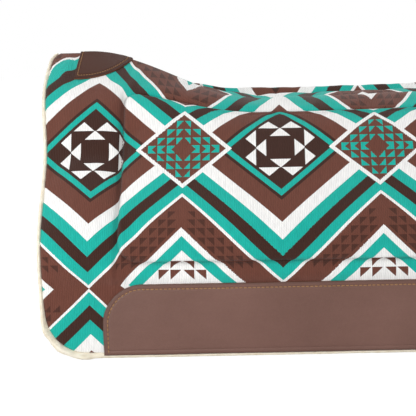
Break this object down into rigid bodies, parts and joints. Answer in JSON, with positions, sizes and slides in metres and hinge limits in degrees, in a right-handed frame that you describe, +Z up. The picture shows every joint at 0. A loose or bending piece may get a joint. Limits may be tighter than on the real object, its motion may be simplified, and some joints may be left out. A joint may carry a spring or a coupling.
{
  "type": "saddle pad",
  "caption": "Contoured built-up Western saddle pad with a woven patterned cover, fleece underside, wear leathers and a wither leather, hinged along its spine seam.",
  "frame": {"origin": "below the middle of the pad, on the surface that its two hems stand on, at the middle of the bounding box's base", "axes": "+X along the pad from the withers end to the tail end, -Y the horse's left side, +Z up"},
  "size_m": [0.8126, 0.4202, 0.3736],
  "materials": {
    "woven_cover": "matte",
    "felt": "matte",
    "insert_felt": "matte",
    "fleece": "matte",
    "wear_leather": "satin",
    "wither_leather": "satin",
    "leather_thread": "matte",
    "cover_thread": "matte"
  },
  "bodies": {
    "left_side": {"woven_cover_left": "woven_cover", "bar_insert_left": "insert_felt", "felt_core_left": "felt", "fleece_lining_left": "fleece", "wear_leather_left": "wear_leather", "wear_leather_stitching_left": "leather_thread", "quilting_stitching_left": "cover_thread", "wither_leather": "wither_leather", "wither_leather_stitching": "leather_thread", "spine_tape": "woven_cover", "spine_fleece_strip": "fleece", "spine_seam_stitching": "cover_thread"},
    "right_side": {"woven_cover_right": "woven_cover", "bar_insert_right": "insert_felt", "felt_core_right": "felt", "fleece_lining_right": "fleece", "wear_leather_right": "wear_leather", "wear_leather_stitching_right": "leather_thread", "quilting_stitching_right": "cover_thread"}
  },
  "joints": [
    {"name": "spine_fold", "type": "hinge", "parent": "left_side", "child": "right_side", "pos_m": [0, 0, 0.325], "axis": [-1, 0, 0], "range_deg": [-12, 20], "deforming": ["spine_tape", "spine_fleece_strip", "spine_seam_stitching", "wither_leather", "wither_leather_stitching"]}
  ]
}
